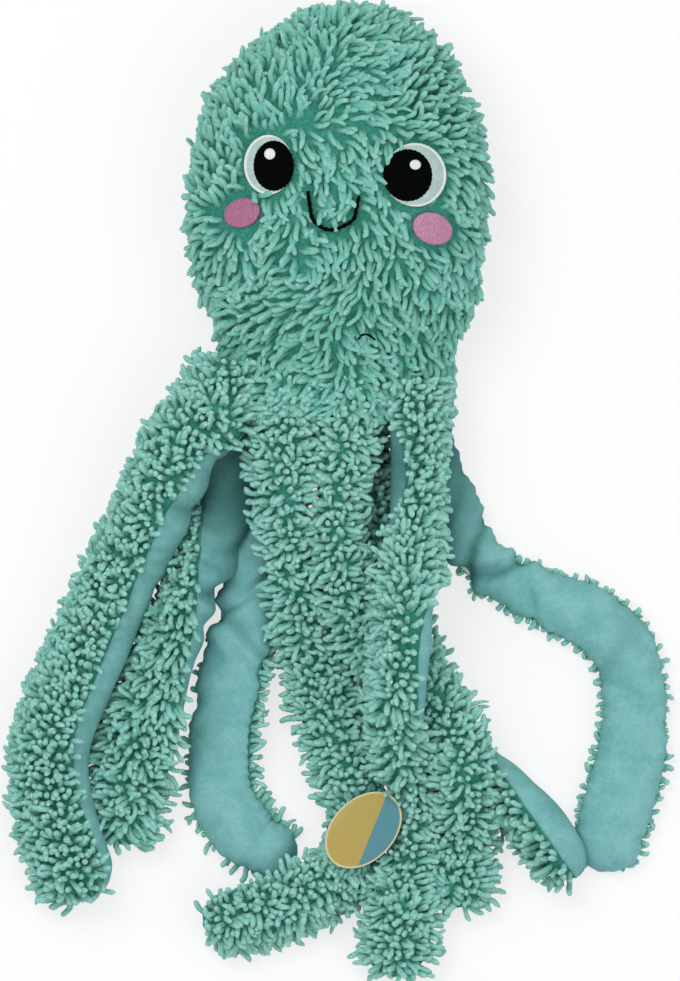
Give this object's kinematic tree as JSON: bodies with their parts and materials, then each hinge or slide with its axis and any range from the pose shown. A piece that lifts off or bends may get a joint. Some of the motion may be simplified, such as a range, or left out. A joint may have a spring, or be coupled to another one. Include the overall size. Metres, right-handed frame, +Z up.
{
  "type": "plush octopus",
  "caption": "Plush octopus dog toy lying on its back, with a stuffed head, a stitched smiling face and long trailing tentacles of noodle chenille and velour.",
  "frame": {"origin": "on the floor, under the middle of the toy's bounding box", "axes": "+Z up from the floor through the face, +Y towards the top of the head, +X towards the toy's left as it is seen from above on the right"},
  "size_m": [0.359, 0.5382, 0.1062],
  "materials": {
    "chenille": "noodle chenille pile, teal",
    "velour": "short smooth pile, blue-green",
    "film": "clear crackling film",
    "stuffing": "white polyester fibre",
    "squeaker": "soft moulded plastic",
    "eye_white": "pale mint cloth, satin-stitched edge",
    "black_thread": "black satin stitch",
    "white_thread": "white satin stitch",
    "pink_thread": "pink satin stitch",
    "sticker": "coated paper, mustard and blue"
  },
  "bodies": {
    "root": {"head_front_panel": "chenille", "head_back_panel": "chenille", "head_stuffing": "stuffing", "squeaker_bulb": "squeaker", "squeaker_reed": "squeaker", "neck_cover": "chenille", "neck_stuffing": "stuffing", "base_disc": "chenille", "left_eye_patch": "eye_white", "right_eye_patch": "eye_white", "left_pupil": "black_thread", "right_pupil": "black_thread", "left_glint": "white_thread", "right_glint": "white_thread", "left_cheek": "pink_thread", "right_cheek": "pink_thread", "smile": "black_thread", "loose_thread": "black_thread", "left_inner_near_chenille": "chenille", "left_inner_near_velour": "velour", "left_inner_near_film": "film", "left_hook_near_chenille": "chenille", "left_hook_near_velour": "velour", "left_hook_near_film": "film", "front_middle_near_chenille": "chenille", "front_middle_near_velour": "velour", "front_middle_near_film": "film", "right_under_near_chenille": "chenille", "right_under_near_velour": "velour", "right_under_near_film": "film"},
    "left_inner": {"left_inner_far_chenille": "chenille", "left_inner_far_velour": "velour", "left_inner_far_film": "film"},
    "left_hook": {"left_hook_far_chenille": "chenille", "left_hook_far_velour": "velour", "left_hook_far_film": "film"},
    "front_middle": {"front_middle_far_chenille": "chenille", "front_middle_far_velour": "velour", "front_middle_far_film": "film"},
    "right_under": {"right_under_far_chenille": "chenille", "right_under_far_velour": "velour", "right_under_far_film": "film"},
    "left_outer": {"left_outer_chenille": "chenille", "left_outer_velour": "velour", "left_outer_film": "film"},
    "foot": {"foot_chenille": "chenille", "foot_velour": "velour", "foot_film": "film", "sticker": "sticker"},
    "front_right": {"front_right_chenille": "chenille", "front_right_velour": "velour", "front_right_film": "film"},
    "right_loop": {"right_loop_chenille": "chenille", "right_loop_velour": "velour", "right_loop_film": "film"}
  },
  "joints": [
    {"name": "left_outer_swing", "type": "hinge", "parent": "root", "child": "left_outer", "pos_m": [-0.08228, 0.04824, 0.044], "axis": [0, 0, 1], "range_deg": [-25, 0]},
    {"name": "left_inner_lift", "type": "hinge", "parent": "root", "child": "left_inner", "pos_m": [-0.08594, -0.05692, 0.03203], "axis": [-0.9438, 0.3305, 0], "range_deg": [0, 45]},
    {"name": "left_hook_lift", "type": "hinge", "parent": "root", "child": "left_hook", "pos_m": [-0.06122, -0.08916, 0.0227], "axis": [-0.9813, 0.1927, 0], "range_deg": [0, 45]},
    {"name": "foot_lift", "type": "hinge", "parent": "root", "child": "foot", "pos_m": [-0.03078, 0.04824, 0.05509], "axis": [-1, 0, 0], "range_deg": [0, 50]},
    {"name": "front_middle_lift", "type": "hinge", "parent": "root", "child": "front_middle", "pos_m": [0.06519, -0.14935, 0.04541], "axis": [-0.9784, -0.2066, 0], "range_deg": [0, 45]},
    {"name": "front_right_lift", "type": "hinge", "parent": "root", "child": "front_right", "pos_m": [0.03923, 0.04824, 0.05462], "axis": [-1, 0, 0], "range_deg": [0, 50]},
    {"name": "right_loop_swing", "type": "hinge", "parent": "root", "child": "right_loop", "pos_m": [0.05489, 0.04824, 0.00872], "axis": [0, 0, 1], "range_deg": [0, 25]},
    {"name": "right_under_lift", "type": "hinge", "parent": "root", "child": "right_under", "pos_m": [0.09572, -0.1705, 0.03038], "axis": [-0.7343, -0.6788, 0], "range_deg": [0, 45]}
  ]
}
